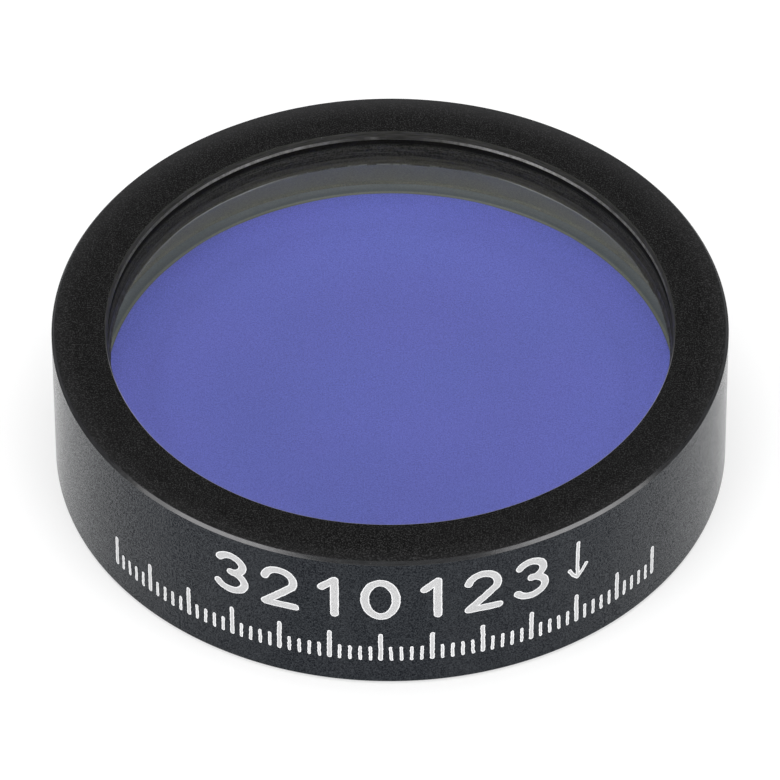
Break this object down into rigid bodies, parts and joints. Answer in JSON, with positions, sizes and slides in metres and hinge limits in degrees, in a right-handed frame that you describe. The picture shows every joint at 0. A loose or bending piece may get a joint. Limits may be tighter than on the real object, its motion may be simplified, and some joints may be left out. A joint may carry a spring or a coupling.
{
  "type": "optical bandpass filter",
  "caption": "Round mounted optical bandpass filter: coated glass stack sealed in a black ring with a front lip, passing one narrow colour band straight through along its axis.",
  "frame": {"origin": "centre of the rear face, on the optical axis", "axes": "+Z along the optical axis from the rear face to the front face with the lip; +X and +Y across the aperture, -Y towards the engraved part of the rim"},
  "size_m": [0.0254, 0.0254, 0.0063],
  "materials": {
    "anodised_ring": "black anodised, satin, fine turning marks",
    "clear_glass": "polished faces, fine-ground edge",
    "bandpass_film": "dielectric coating, blue-violet in reflection",
    "cement": "clear cured optical cement",
    "blocking_film": "metal and dielectric coating",
    "colour_glass": "polished blue-green absorbing glass",
    "black_epoxy": "cured black epoxy, slightly uneven",
    "anodised_retainer": "black anodised, satin"
  },
  "bodies": {
    "root": {"housing_ring": "anodised_ring", "front_glass": "clear_glass", "bandpass_coating": "bandpass_film", "optical_cement": "cement", "blocking_coating": "blocking_film", "blocking_glass": "colour_glass", "edge_seal": "black_epoxy", "front_seal_bead": "black_epoxy", "retaining_ring": "anodised_retainer", "rear_seal_bead": "black_epoxy"}
  },
  "joints": []
}
